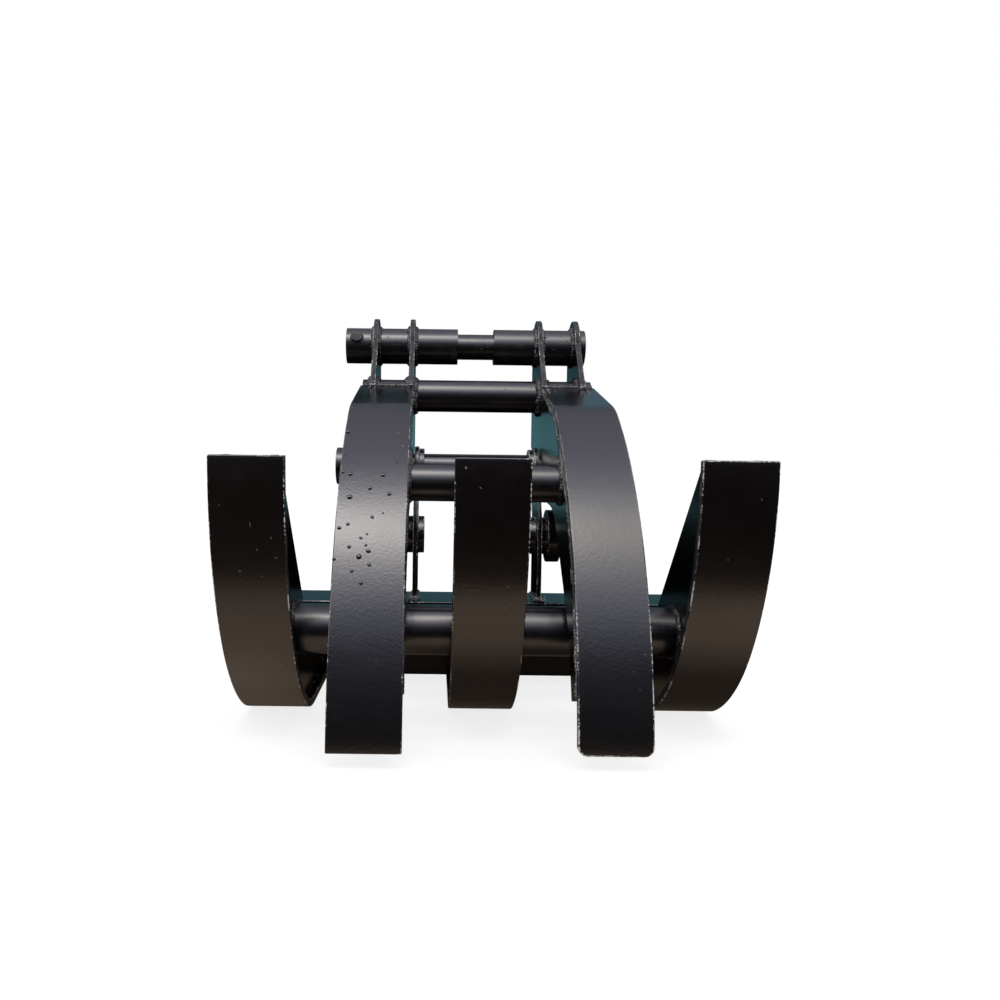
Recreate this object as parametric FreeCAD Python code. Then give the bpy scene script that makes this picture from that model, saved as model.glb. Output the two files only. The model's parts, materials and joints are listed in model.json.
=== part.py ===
import FreeCAD, Part
import math
import os

from FreeCAD import Vector

# Log grapple with two interleaving claws, for a small excavator. The upper jaw
# has two tines and turns about the stick pin. The lower jaw has three tines.
# Millimetres. +X is to the right, the tines face -Y, +Z is up. The origin is
# on the stick pin's axis, midway between the side plates, with the jaws closed.

# Pins and their bosses
pin_radius = 15.0
running_gap = 0.05
sleeve_wall = 6.0
link_gap_width = 43.0
stick_gap_width = 118.0
stick_boss_length = 11.0
link_pin_y = 56.0
link_pin_z = 144.0

# Plates and tubes
flange_width = 62.0
flange_thickness = 8.0
web_thickness = 6.0
weld_gap = 0.05
cut_extra = 1.0

# Upper jaw, across the width
web_inset = 1.0
outer_web_inset = 12.0
back_tube_overhang = 10.0
ear_radius = 32.0
rear_edge_y = 88.0
rear_corner_z = 26.0
pivot_lobe_radius = 31.0
link_sleeve_overhang_left = 33.0
link_sleeve_overhang_right = 8.5
stick_sleeve_overhang_left = 38.0
stick_sleeve_overhang_right = 11.0
pin_end_recess = 4.0

# Upper jaw, cross tubes
back_tube_y = 13.6
back_tube_z = 82.0
back_tube_radius = 18.2
front_tube_y = -182.0
front_tube_z = -13.4
front_tube_radius = 17.8
tube_wall = 4.0

# Upper tine, seen from the side. A heading is the slope below straight forward.
upper_start_y = -4.0
upper_start_z = 92.2
upper_top_heading = 13.4
upper_top_length = 113.4
upper_shoulder_radius = 118.5
upper_shoulder_heading = 31.1
upper_face_radius = 356.5
upper_face_heading = 84.5
upper_tip_length = 10.5
upper_inner_start_y = -14.0
upper_inner_heading = 4.5
upper_inner_length = 92.0
upper_inner_radius = 90.0
upper_throat_heading = 42.0
upper_throat_length = 112.0
upper_heel_radius = 55.0
upper_heel_heading = 68.0
upper_web_end_length = 44.0
right_tip_corner_radius = 8.0

# Lower jaw, across the width
lower_tine_pitch = 198.5
lower_web_inset = 8.0
beam_end_inset = 5.0

# Lower tine, seen from the side
lower_tip_y = -314.2
lower_tip_z = 10.0
lower_tip_heading = 91.3
lower_tip_length = 3.8
lower_face_radius = 296.0
lower_face_heading = 125.7
lower_chin_radius = 215.0
lower_chin_heading = 156.0
lower_heel_radius = 130.0
lower_web_tip_depth = 18.0
lower_web_corner_y = -130.0
lower_web_corner_radius = 70.0
seat_top_z = -144.0
beam_rear_y = 6.0
beam_thickness = 6.0
beam_bend_rounding = 5.0
beam_leg_length = 82.0
beam_floor_clearance = 1.5

# Lower jaw, cross tube
lower_tube_y = -207.0
lower_tube_z = -149.0
lower_tube_radius = 23.0
lower_tube_wall = 5.0

# Lower jaw, arms and brace bosses
arm_side_gap = 2.0
arm_thickness = 5.0
arm_front_y = -62.0
arm_rear_y = -2.0
arm_eye_radius = 23.5
brace_pin_y = -31.0
brace_pin_z = -75.0
brace_collar_radius = 20.5
brace_collar_length = 7.0
brace_hub_radius = 29.0
brace_hub_width = 14.0

# Lock bolt of the link pin
lock_bolt_radius = 4.0
lock_bolt_gap = 0.1
lock_head_across = 13.0
lock_head_height = 5.5
lock_nut_height = 6.8
lock_bolt_tail = 3.0
lock_bolt_angle = 20.0
lock_bolt_from_end = 13.0

# Places worked out from the sizes above
sleeve_radius = pin_radius + sleeve_wall
upper_plate_gap = stick_gap_width + 2 * (stick_boss_length + arm_side_gap)
inner_web_x = upper_plate_gap / 2
upper_flange_x = inner_web_x - web_inset
outer_web_x = upper_flange_x + flange_width - outer_web_inset - web_thickness
outer_face_x = outer_web_x + web_thickness
arm_outer_x = inner_web_x - arm_side_gap
arm_inner_x = arm_outer_x - arm_thickness
lower_tube_half = lower_tine_pitch - flange_width / 2 + lower_web_inset + web_thickness
link_pin = (link_pin_y, link_pin_z)
stick_pin = (0.0, 0.0)
brace_pin = (brace_pin_y, brace_pin_z)
back_tube_place = (back_tube_y, back_tube_z)
front_tube_place = (front_tube_y, front_tube_z)
lower_tube_place = (lower_tube_y, lower_tube_z)
side_names = {-1: "left", 1: "right"}


def point(place, x=0.0):
    """A point of the side view as a vector at the given x."""
    return Vector(x, place[0], place[1])


def direction(heading):
    """Unit step of the side view for a heading below straight forward."""
    angle = math.radians(heading)
    return (-math.cos(angle), -math.sin(angle))


def inward(heading):
    """Unit step from a tine's outer face towards the claw's inside."""
    angle = math.radians(heading)
    return (math.sin(angle), -math.cos(angle))


def moved(place, step, length):
    return (place[0] + step[0] * length, place[1] + step[1] * length)


def walk(start, heading, steps, offset=0.0):
    """Edges and end of a path of straight runs and tangent arcs.

    A step is a length, or a pair of radius and end heading. The path is shifted
    inward by the offset, which makes the parallel face of a bent plate.
    """
    here = moved(start, inward(heading), offset)
    edges = []
    for step in steps:
        if isinstance(step, tuple):
            radius = step[0] - offset
            centre = moved(here, inward(heading), radius)
            middle = moved(centre, inward((heading + step[1]) / 2), -radius)
            there = moved(centre, inward(step[1]), -radius)
            edges.append(Part.Arc(point(here), point(middle), point(there)).toShape())
            heading = step[1]
        else:
            there = moved(here, direction(heading), step)
            edges.append(Part.makeLine(point(here), point(there)))
        here = there
    return edges, here


def path_end(start, heading, steps):
    return walk(start, heading, steps)[1]


def polyline(places):
    """Straight edges through places of the side view."""
    pairs = zip(places[:-1], places[1:])
    return [Part.makeLine(point(a), point(b)) for a, b in pairs]


def face_of(edges):
    ordered = Part.__sortEdges__(edges)
    return Part.Face(Part.Wire(ordered))


def slab(face, x_low, width):
    """A side-view face made into a plate that starts at x_low."""
    moved_face = face.copy()
    moved_face.translate(Vector(x_low, 0, 0))
    return moved_face.extrude(Vector(width, 0, 0))


def disc(place, radius, x_low, width):
    return Part.makeCylinder(radius, width, point(place, x_low), Vector(1, 0, 0))


def ring(place, radius, bore, x_low, width):
    return disc(place, radius, x_low, width).cut(disc(place, bore, x_low, width))


def on_side(side, x_near, x_far):
    """Low x and width of a stretch between two distances from the middle."""
    return min(side * x_near, side * x_far), x_far - x_near


def hole(plate, place, radius, x_low, width):
    """The plate with a clear round hole through the given stretch of x."""
    drill = disc(place, radius + weld_gap, x_low - cut_extra, width + 2 * cut_extra)
    return plate.cut(drill)


# Side view of the lower tine
lower_start = (lower_tip_y, lower_tip_z)
lower_steps = [
    lower_tip_length,
    (lower_face_radius, lower_face_heading),
    (lower_chin_radius, lower_chin_heading),
    (lower_heel_radius, 180.0),
]
belly_start_y, floor_z = path_end(lower_start, lower_tip_heading, lower_steps)
belly_length = beam_rear_y - beam_thickness - belly_start_y
lower_path = lower_steps + [belly_length]

# Side view of the upper tine, whose tip ends just above the floor
upper_start = (upper_start_y, upper_start_z)
upper_path = [
    upper_top_length,
    (upper_shoulder_radius, upper_shoulder_heading),
    (upper_face_radius, upper_face_heading),
    upper_tip_length,
]


def bent_plate_face(start, heading, path):
    """Side view of a tine's face plate, of even thickness along its path."""
    outer, outer_end = walk(start, heading, path)
    inner, inner_end = walk(start, heading, path, flange_thickness)
    inner_start = moved(start, inward(heading), flange_thickness)
    ends = [Part.makeLine(point(start), point(inner_start))]
    ends.append(Part.makeLine(point(outer_end), point(inner_end)))
    return face_of(outer + inner + ends)


def inside_of_tine(start, heading, path, far_places):
    """Side view of all that lies behind a tine's face plate."""
    inner, inner_end = walk(start, heading, path, flange_thickness)
    inner_start = moved(start, inward(heading), flange_thickness)
    return face_of(inner + polyline([inner_end] + far_places + [inner_start]))


def rounded_tip(plate, place):
    """The plate with its two corners rounded at the end near the place."""
    corners = []
    for edge in plate.Edges:
        middle = edge.CenterOfMass
        reach = math.hypot(middle.y - place[0], middle.z - place[1])
        is_corner = abs(edge.Length - flange_thickness) < 0.01
        if is_corner and reach < flange_thickness:
            corners.append(edge)
    return plate.makeFillet(right_tip_corner_radius, corners)


def upper_flange(side):
    """Face plate of an upper tine, coped to the back tube that it is welded to.

    The left tip is cut square and the right one is ground round.
    """
    face = bent_plate_face(upper_start, upper_top_heading, upper_path)
    low, width = on_side(side, upper_flange_x, upper_flange_x + flange_width)
    plate = slab(face, low, width)
    if side > 0:
        plate = rounded_tip(plate, path_end(upper_start, upper_top_heading, upper_path))
    return hole(plate, back_tube_place, back_tube_radius, low, width)


def lower_flange(middle_x):
    face = bent_plate_face(lower_start, lower_tip_heading, lower_path)
    return slab(face, middle_x - flange_width / 2, flange_width)


def upper_tine_region():
    """Side view of the web behind an upper tine's face plate."""
    start = (upper_inner_start_y, -pivot_lobe_radius)
    steps = [
        upper_inner_length,
        (upper_inner_radius, upper_throat_heading),
        upper_throat_length,
        (upper_heel_radius, upper_heel_heading),
        upper_web_end_length,
    ]
    inner, inner_end = walk(start, upper_inner_heading, steps)
    beyond = moved(inner_end, inward(upper_heel_heading), -3 * flange_width)
    top = (start[0], upper_start_z + flange_width)
    far_corner = (beyond[0] - flange_width, top[1])
    blank = face_of(inner + polyline([inner_end, beyond, far_corner, top, start]))
    far = [(0.0, floor_z), (0.0, upper_start_z)]
    inside = inside_of_tine(upper_start, upper_top_heading, upper_path, far)
    return blank.common(inside)


def ear_region():
    """Side view of the plate that joins the link pin, stick pin and back tube."""
    rear_top = (rear_edge_y, link_pin_z)
    crown = (link_pin_y, link_pin_z + ear_radius)
    front_top = (link_pin_y - ear_radius, link_pin_z)
    crown_rise = ear_radius * math.sin(math.pi / 4)
    rear_reach = rear_edge_y - link_pin_y
    rear_mid = (link_pin_y + rear_reach * math.sin(math.pi / 4), link_pin_z + crown_rise)
    front_mid = (link_pin_y - crown_rise, link_pin_z + crown_rise)
    arcs = [
        Part.Arc(point(rear_top), point(rear_mid), point(crown)).toShape(),
        Part.Arc(point(crown), point(front_mid), point(front_top)).toShape(),
    ]
    neck = (upper_start_y - 2 * flange_thickness, upper_start_z)
    lobe_bottom = (upper_inner_start_y, -pivot_lobe_radius)
    lobe_rear = (pivot_lobe_radius, 0.0)
    rear_corner = (rear_edge_y, rear_corner_z)
    rest = polyline([front_top, neck, lobe_bottom, lobe_rear, rear_corner, rear_top])
    return face_of(arcs + rest)


def side_plate(x_near):
    """Ear, pivot lobe and tine web cut from one plate, with its tube holes."""
    tine = slab(upper_tine_region(), x_near, web_thickness)
    ear = slab(ear_region(), x_near, web_thickness)
    lobe = disc(stick_pin, pivot_lobe_radius, x_near, web_thickness)
    face = bent_plate_face(upper_start, upper_top_heading, upper_path)
    flange = slab(face, x_near - web_thickness, 3 * web_thickness)
    plate = ear.fuse([lobe, tine]).removeSplitter().cut(flange)
    holes = {link_pin: sleeve_radius, stick_pin: sleeve_radius, back_tube_place: back_tube_radius}
    for place, radius in holes.items():
        plate = hole(plate, place, radius, x_near, web_thickness)
    return plate


def sided_plate(side, x_near):
    return side_plate(on_side(side, x_near, x_near + web_thickness)[0])


def lock_axis():
    angle = math.radians(lock_bolt_angle)
    return Vector(0, -math.cos(angle), math.sin(angle))


def lock_hole(lock_place):
    """The clear hole for a lock bolt that crosses its pin at the given place."""
    reach = 3 * sleeve_radius
    start = lock_place - lock_axis() * (reach / 2)
    return Part.makeCylinder(lock_bolt_radius + lock_bolt_gap, reach, start, lock_axis())


def hexagon(across, height, base, axis):
    """A hexagonal prism that stands on the base point along the axis."""
    corner = across / math.sqrt(3)
    turns = [math.radians(60 * step) for step in range(7)]
    outline = [Vector(corner * math.cos(t), corner * math.sin(t), 0) for t in turns]
    prism = Part.Face(Part.makePolygon(outline)).extrude(Vector(0, 0, height))
    prism.Placement = FreeCAD.Placement(base, FreeCAD.Rotation(Vector(0, 0, 1), axis))
    return prism


def lock_bolt(centre):
    """Hex bolt with its nut, across the sleeve and the pin."""
    axis = lock_axis()
    seat = centre + axis * sleeve_radius
    length = 2 * sleeve_radius + lock_nut_height + lock_bolt_tail
    shank = Part.makeCylinder(lock_bolt_radius, length, seat, axis * -1)
    head = hexagon(lock_head_across, lock_head_height, seat, axis)
    nut_seat = centre - axis * sleeve_radius
    nut = hexagon(lock_head_across, lock_nut_height, nut_seat, axis * -1)
    return shank.fuse([head, nut]).removeSplitter()


def sleeve(side, place, x_near, overhang):
    """A pin sleeve from x_near out to the overhang past the outer plate."""
    low, width = on_side(side, x_near, outer_face_x + overhang)
    return ring(place, sleeve_radius, pin_radius + running_gap, low, width)


def sleeves(place, x_near, overhangs):
    """Both sleeves of a pin, the left one first."""
    return [sleeve(side, place, x_near, over) for side, over in zip((-1, 1), overhangs)]


def pin_body(place, overhangs):
    """A pin that stops short of both sleeve ends."""
    low = -outer_face_x - overhangs[0] + pin_end_recess
    high = outer_face_x + overhangs[1] - pin_end_recess
    return disc(place, pin_radius, low, high - low)


def back_tube():
    half = outer_face_x + back_tube_overhang
    bore = back_tube_radius - tube_wall
    return ring(back_tube_place, back_tube_radius, bore, -half, 2 * half)


def front_tube():
    """Cross tube that butts against both inner side plates."""
    half = inner_web_x - weld_gap
    bore = front_tube_radius - tube_wall
    return ring(front_tube_place, front_tube_radius, bore, -half, 2 * half)


def lower_web_region():
    """Side view of the web behind a lower tine's face plate."""
    tip = moved(lower_start, inward(lower_tip_heading), flange_thickness)
    tip_inner = moved(tip, inward(lower_tip_heading), lower_web_tip_depth)
    seat_z = seat_top_z - beam_thickness
    corner = (lower_web_corner_y, seat_z)
    rear = (beam_rear_y - beam_thickness, seat_z)
    rear_low = (rear[0], floor_z)
    slope = math.atan2(tip_inner[1] - seat_z, corner[0] - tip_inner[0])
    back_off = lower_web_corner_radius * math.tan(slope / 2)
    before = moved(corner, (-math.cos(slope), math.sin(slope)), back_off)
    after = (corner[0] + back_off, seat_z)
    centre = (after[0], seat_z + lower_web_corner_radius)
    half = slope / 2
    bulge = (-math.sin(half), -math.cos(half))
    middle = moved(centre, bulge, lower_web_corner_radius)
    curve = Part.Arc(point(before), point(middle), point(after)).toShape()
    inner, inner_end = walk(lower_start, lower_tip_heading, lower_path, flange_thickness)
    outline = polyline([tip, tip_inner, before])
    outline += [curve]
    outline += polyline([after, rear, inner_end])
    return face_of(outline + inner)


def lower_web(x_near):
    """A web of a lower tine, with a hole where the cross tube reaches it."""
    plate = slab(lower_web_region(), x_near, web_thickness)
    if abs(x_near + web_thickness / 2) < lower_tube_half:
        plate = hole(plate, lower_tube_place, lower_tube_radius, x_near, web_thickness)
    return plate


def lower_tube():
    bore = lower_tube_radius - lower_tube_wall
    return ring(lower_tube_place, lower_tube_radius, bore, -lower_tube_half, 2 * lower_tube_half)


def rear_beam():
    """Bent plate over and behind the lower webs, from side to side."""
    front = beam_rear_y - beam_leg_length
    low = floor_z + beam_floor_clearance
    outer = polyline([(front, seat_top_z), (beam_rear_y, seat_top_z), (beam_rear_y, low)])
    inner_rear = beam_rear_y - beam_thickness
    inner_top = seat_top_z - beam_thickness
    inner = polyline([(front, inner_top), (inner_rear, inner_top), (inner_rear, low)])
    ends = polyline([(front, seat_top_z), (front, inner_top)])
    ends += polyline([(beam_rear_y, low), (inner_rear, low)])
    half = lower_tine_pitch + flange_width / 2 - beam_end_inset
    beam = slab(face_of(outer + inner + ends), -half, 2 * half)
    corner = point((beam_rear_y, seat_top_z))
    bend = [edge for edge in beam.Edges if (edge.CenterOfMass - corner).Length < weld_gap]
    return beam.makeFillet(beam_bend_rounding, bend)


def arm_region():
    """Side view of an arm, from its eye on the stick pin down to the beam."""
    waist_z = brace_pin_z + brace_collar_radius
    places = [
        (arm_eye_radius, 0.0),
        (arm_rear_y, waist_z),
        (arm_rear_y, seat_top_z),
        (arm_front_y, seat_top_z),
        (arm_front_y, waist_z),
        (-arm_eye_radius, 0.0),
        (arm_eye_radius, 0.0),
    ]
    return face_of(polyline(places))


def bare_arm(side):
    """The arm's plate with its round eye, before the bosses are welded in."""
    low, width = on_side(side, arm_inner_x, arm_outer_x)
    eye = disc(stick_pin, arm_eye_radius, low, width)
    return slab(arm_region(), low, width).fuse(eye)


def stick_boss(side):
    low, width = on_side(side, stick_gap_width / 2, arm_outer_x)
    return disc(stick_pin, sleeve_radius, low, width)


def brace_collar(side):
    near = arm_inner_x - brace_collar_length
    low, width = on_side(side, near, arm_outer_x + brace_collar_length)
    return disc(brace_pin, brace_collar_radius, low, width)


def brace_hub(side):
    near = arm_outer_x + brace_collar_length
    low, width = on_side(side, near, near + brace_hub_width)
    return disc(brace_pin, brace_hub_radius, low, width)


def arm(side):
    """An arm with its bosses, bored in line for the stick pin and the brace pin."""
    bosses = [stick_boss(side), brace_collar(side), brace_hub(side)]
    solid = bare_arm(side).fuse(bosses).removeSplitter()
    bore = pin_radius + running_gap
    for place in (stick_pin, brace_pin):
        solid = solid.cut(disc(place, bore, -outer_face_x, 2 * outer_face_x))
    return solid


def upper_jaw():
    parts = {}
    for side, name in side_names.items():
        parts["upper_" + name + "_tine_face"] = upper_flange(side)
        parts["upper_" + name + "_inner_side_plate"] = sided_plate(side, inner_web_x)
        parts["upper_" + name + "_outer_side_plate"] = sided_plate(side, outer_web_x)
    parts["upper_back_tube"] = back_tube()
    parts["upper_front_tube"] = front_tube()
    return parts


def pin_sets():
    """Both pins with their sleeves, and the bolt that locks the link pin."""
    link = (link_sleeve_overhang_left, link_sleeve_overhang_right)
    stick = (stick_sleeve_overhang_left, stick_sleeve_overhang_right)
    lock_place = point(link_pin, lock_bolt_from_end - outer_face_x - link[0])
    drill = lock_hole(lock_place)
    link_sleeves = sleeves(link_pin, link_gap_width / 2, link)
    link_sleeves[0] = link_sleeves[0].cut(drill)
    parts = {}
    parts["link_pin"] = pin_body(link_pin, link).cut(drill)
    parts["stick_pin"] = pin_body(stick_pin, stick)
    parts["link_pin_sleeves"] = Part.makeCompound(link_sleeves)
    parts["stick_pin_sleeves"] = Part.makeCompound(sleeves(stick_pin, inner_web_x, stick))
    parts["link_pin_lock_bolt"] = lock_bolt(lock_place)
    return parts


def lower_jaw():
    parts = {}
    tines = {"left": -lower_tine_pitch, "centre": 0.0, "right": lower_tine_pitch}
    for name, middle in tines.items():
        low_edge = middle - flange_width / 2
        high_edge = middle + flange_width / 2
        parts["lower_" + name + "_tine_face"] = lower_flange(middle)
        low_web = low_edge + lower_web_inset
        high_web = high_edge - lower_web_inset - web_thickness
        parts["lower_" + name + "_tine_left_web"] = lower_web(low_web)
        parts["lower_" + name + "_tine_right_web"] = lower_web(high_web)
    parts["lower_cross_tube"] = lower_tube()
    parts["rear_cross_beam"] = rear_beam()
    for side, name in side_names.items():
        parts["lower_" + name + "_arm"] = arm(side)
    return parts


def main():
    os.makedirs("parts", exist_ok=True)
    parts = upper_jaw()
    parts.update(pin_sets())
    parts.update(lower_jaw())
    for name, shape in parts.items():
        shape.exportStep("parts/" + name + ".step")
    print("floor", round(floor_z, 2), "belly starts", round(belly_start_y, 2))
    print("nodes", len(parts))


main()
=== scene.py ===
import json
import math

import bpy
from mathutils import Euler, Matrix, Vector, noise
from mathutils.bvhtree import BVHTree


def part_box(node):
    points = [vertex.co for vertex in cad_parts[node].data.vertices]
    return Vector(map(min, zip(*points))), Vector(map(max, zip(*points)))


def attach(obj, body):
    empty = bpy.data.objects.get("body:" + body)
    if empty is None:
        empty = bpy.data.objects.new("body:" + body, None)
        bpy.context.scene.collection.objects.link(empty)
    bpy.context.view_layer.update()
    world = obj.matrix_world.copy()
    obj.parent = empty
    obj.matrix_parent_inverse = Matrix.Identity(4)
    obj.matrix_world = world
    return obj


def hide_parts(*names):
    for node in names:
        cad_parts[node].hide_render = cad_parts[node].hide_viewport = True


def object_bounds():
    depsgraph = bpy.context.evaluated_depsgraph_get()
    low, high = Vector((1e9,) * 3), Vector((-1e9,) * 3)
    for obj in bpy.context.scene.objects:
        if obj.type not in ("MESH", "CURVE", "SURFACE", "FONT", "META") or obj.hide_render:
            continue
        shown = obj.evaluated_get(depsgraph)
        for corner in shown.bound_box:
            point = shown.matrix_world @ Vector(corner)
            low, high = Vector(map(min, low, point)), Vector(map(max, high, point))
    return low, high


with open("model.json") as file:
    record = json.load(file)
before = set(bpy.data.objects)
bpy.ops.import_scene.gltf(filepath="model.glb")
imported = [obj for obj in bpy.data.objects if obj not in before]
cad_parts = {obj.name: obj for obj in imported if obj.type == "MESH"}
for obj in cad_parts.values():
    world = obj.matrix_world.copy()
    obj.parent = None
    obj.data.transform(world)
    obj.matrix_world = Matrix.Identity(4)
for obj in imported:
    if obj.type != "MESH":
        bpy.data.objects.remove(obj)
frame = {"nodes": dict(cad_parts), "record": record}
cad_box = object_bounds()

bl_info = {
    "name": "Log grapple dressing",
    "version": (1, 0, 0),
    "blender": (4, 5, 0),
    "location": "View3D > Sidebar > Grapple",
    "description": "Plates, welds, paint and studio of a log grapple, around its packed model",
    "category": "Object",
}

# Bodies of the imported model
UPPER = "upper_jaw"
LOWER = "lower_jaw"

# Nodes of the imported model, by kind
SIDES = ("left", "right")
TINES = ("left", "centre", "right")
PLACES = ("inner", "outer")
SIDE_PLATES = [f"upper_{side}_{place}_side_plate" for side in SIDES for place in PLACES]
LOWER_WEBS = [f"lower_{tine}_tine_{side}_web" for tine in TINES for side in SIDES]
ARMS = [f"lower_{side}_arm" for side in SIDES]
BEAM = "rear_cross_beam"
UPPER_FACES = [f"upper_{side}_tine_face" for side in SIDES]
LOWER_FACES = [f"lower_{tine}_tine_face" for tine in TINES]
BACK_TUBE = "upper_back_tube"
TUBES = {BACK_TUBE: UPPER, "upper_front_tube": UPPER, "lower_cross_tube": LOWER}
SLEEVES = ("link_pin_sleeves", "stick_pin_sleeves")
PINS = ("link_pin", "stick_pin")

# What the bends of the lower and upper tines turn about, roughly
LOWER_BEND_CENTRE = Vector((0.0, -0.06, 0.02))
UPPER_BEND_CENTRE = Vector((0.0, -0.05, -0.20))

# Arms and beam, where the welds round the arms' feet run, and half the link pin's gap
ARM_INNER_X = 0.065
ARM_THICKNESS = 0.005
ARM_REAR_Y = -0.002
BEAM_THICKNESS = 0.006
LINK_GAP_HALF = 0.0215

# Lock bolts, with the hexagons' shares of their width across flats
LOCK_FROM_END = 0.013
STICK_LOCK_SHIFT = 0.008
LOCK_ANGLE = math.radians(20.0)
LOCK_ACROSS = 0.013
LOCK_HEAD = 0.0045
LOCK_NUT = 0.0062
LOCK_WASHER = 0.0013
LOCK_THREAD_PITCH = 0.00125
LOCK_RADIUS = 0.004
THREAD_ROOT = 0.86
HEX_INSET = 0.09
HEX_CHAMFER = 0.07
HEX_CORNER_REACH = 0.55
WASHER_REACH = 0.62
WASHER_RIM = 0.1
FASTENER_ROUNDING = 0.0003

# Centre holes of the pins, in shares of the radius around them
CENTRE_HOLE_RIM = 0.68
CENTRE_HOLE_BOTTOM = 0.4

# Ring beads, in shares of their leg
BEAD_SINK = 0.25
RIPPLE_RISE = 0.20
RIPPLE_SCATTER = 0.16
BEAD_SCATTER = 0.10
BEAD_SWELL = 0.85

# Straight and bent beads: how much their width changes from ripple to ripple and at large
RIPPLE_DEPTH = 0.14
BEAD_UNEVENNESS = 0.35
UNEVENNESS_SCALE = 90.0

# The heavier beads, in shares of the usual leg or in metres
HEAVY_RING = 1.35
HEAVY_FOOT = 1.15
FOOT_LUMP_LEG = 0.0046
BACK_TUBE_BEAD_LEG = 0.0036
BEAD_INSET = 0.003

# Two places closer than this are the same. A normal with this much of an axis is along it
SAME_PLACE = 0.0001
FACING = 0.9

# Slots of the finishes along a piece's edges and on its cut faces
EDGE_SLOT = 1
CUT_SLOT = 2


def metres(name, description, default):
    return bpy.props.FloatProperty(
        name=name, description=description, default=default, unit="LENGTH")


def shade(name, description, default):
    return bpy.props.FloatVectorProperty(
        name=name, description=description, default=default, subtype="COLOR", size=3)


class GrappleSizes(bpy.types.PropertyGroup):
    """Sizes of the details that the finish adds"""
    plate_edge: metres("Plate edge", "Width of the worn edge along cut plates", 0.0009)
    tube_edge: metres("Tube edge", "Rounding at the ends of tubes and sleeves", 0.0007)
    pin_chamfer: metres("Pin chamfer", "Chamfer at the ends of the pins", 0.002)
    ring_leg: metres("Ring weld leg", "Half width of the beads round tubes and sleeves", 0.0034)
    seam_leg: metres("Seam weld leg", "Half width of the beads along the plates", 0.0024)
    ripple_pitch: metres("Ripple pitch", "Distance between the ripples of a weld bead", 0.003)


class GrappleColours(bpy.types.PropertyGroup):
    """Colours of the finishes"""
    # One black paint in two tints, which is painted light: cooler on the upper jaw and warmer on
    # the lower jaw for the light that each takes.
    upper_paint: shade(
        "Upper jaw paint", "Gloss black paint of the upper jaw", (0.0026, 0.0025, 0.0032))
    lower_paint: shade(
        "Lower jaw paint", "Gloss black paint of the lower jaw", (0.0028, 0.0019, 0.0021))
    # Bare steel also colours the bright specks on welds and cut edges, which are partly painted
    # glints.
    bare_steel: shade("Bare steel", "Steel where the paint has chipped off", (0.30, 0.29, 0.28))
    weld: shade("Weld", "Painted weld beads", (0.0036, 0.0033, 0.0036))
    dust: shade("Dust", "Dust and overspray on the paint", (0.11, 0.10, 0.095))


def sizes():
    return bpy.context.scene.grapple_sizes


def colours():
    return bpy.context.scene.grapple_colours


# Shader maths

class Value:
    """An output of a shader's nodes, so that its maths reads as an expression."""

    def __init__(self, nodes, socket):
        self.nodes = nodes
        self.socket = socket

    def math(self, operation, *others, clamp=False):
        values = dict(enumerate((self,) + others))
        settings = {"operation": operation, "use_clamp": clamp}
        return self.nodes.add("ShaderNodeMath", settings, values)

    def __add__(self, other):
        return self.math("ADD", other)

    def __sub__(self, other):
        return self.math("SUBTRACT", other)

    def __mul__(self, other):
        return self.math("MULTIPLY", other)

    def __truediv__(self, other):
        return self.math("DIVIDE", other)

    def __rsub__(self, other):
        return (self * -1.0) + other

    __radd__ = __add__

    def above(self, level, softness):
        """0 below the level and 1 over it, with a soft step between."""
        return ((self - (level - softness / 2)) / softness).math("ADD", 0.0, clamp=True)


class Nodes:
    """The node tree of a material or of the world."""

    def __init__(self, tree):
        self.tree = tree
        tree.nodes.clear()

    def add(self, kind, settings=None, values=None, output=0):
        """A node of any kind: its settings first, then its sockets' values or links."""
        node = self.tree.nodes.new(kind)
        for name, setting in (settings or {}).items():
            if name == "stops":
                self.set_stops(node.color_ramp, setting)
            else:
                setattr(node, name, setting)
        for name, value in (values or {}).items():
            if isinstance(value, Value):
                self.tree.links.new(value.socket, node.inputs[name])
            else:
                node.inputs[name].default_value = value
        return Value(self, node.outputs[output]) if node.outputs else None

    def set_stops(self, ramp, stops):
        while len(ramp.elements) > 1:
            ramp.elements.remove(ramp.elements[-1])
        for place, colour in stops:
            element = ramp.elements.new(place)
            element.color = colour
        ramp.elements.remove(ramp.elements[0])

    def ramp(self, value, stops):
        return self.add("ShaderNodeValToRGB", {"stops": stops}, {0: value})

    def coordinates(self):
        return self.add("ShaderNodeTexCoord", output="Object")

    def noise(self, vector, scale, detail=2.0, roughness=0.5):
        values = {"Vector": vector, "Scale": scale, "Detail": detail, "Roughness": roughness}
        return self.add("ShaderNodeTexNoise", None, values, "Fac")

    def axis(self, vector, name):
        return self.add("ShaderNodeSeparateXYZ", None, {0: vector}, name)

    def stretched(self, vector, scale):
        return self.add("ShaderNodeMapping", None, {"Vector": vector, "Scale": scale})

    def mix(self, factor, first, second):
        """A colour between two colours."""
        values = {0: factor, 6: first, 7: second}
        return self.add("ShaderNodeMix", {"data_type": "RGBA"}, values, 2)

    def bump(self, height, distance, strength=1.0):
        values = {"Strength": strength, "Distance": distance, "Height": height}
        return self.add("ShaderNodeBump", None, values)

    def surface(self, **values):
        shader = self.add("ShaderNodeBsdfPrincipled", None, values)
        self.add("ShaderNodeOutputMaterial", None, {"Surface": shader})


def opaque(colour, level=1.0):
    return tuple(channel * level for channel in colour) + (1.0,)


def grey(level, tint=(1.0, 1.0, 1.0)):
    return opaque(tint, level)


def new_material(name):
    material = bpy.data.materials.new(name)
    material.use_nodes = True
    return material, Nodes(material.node_tree)


# Finishes

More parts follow.
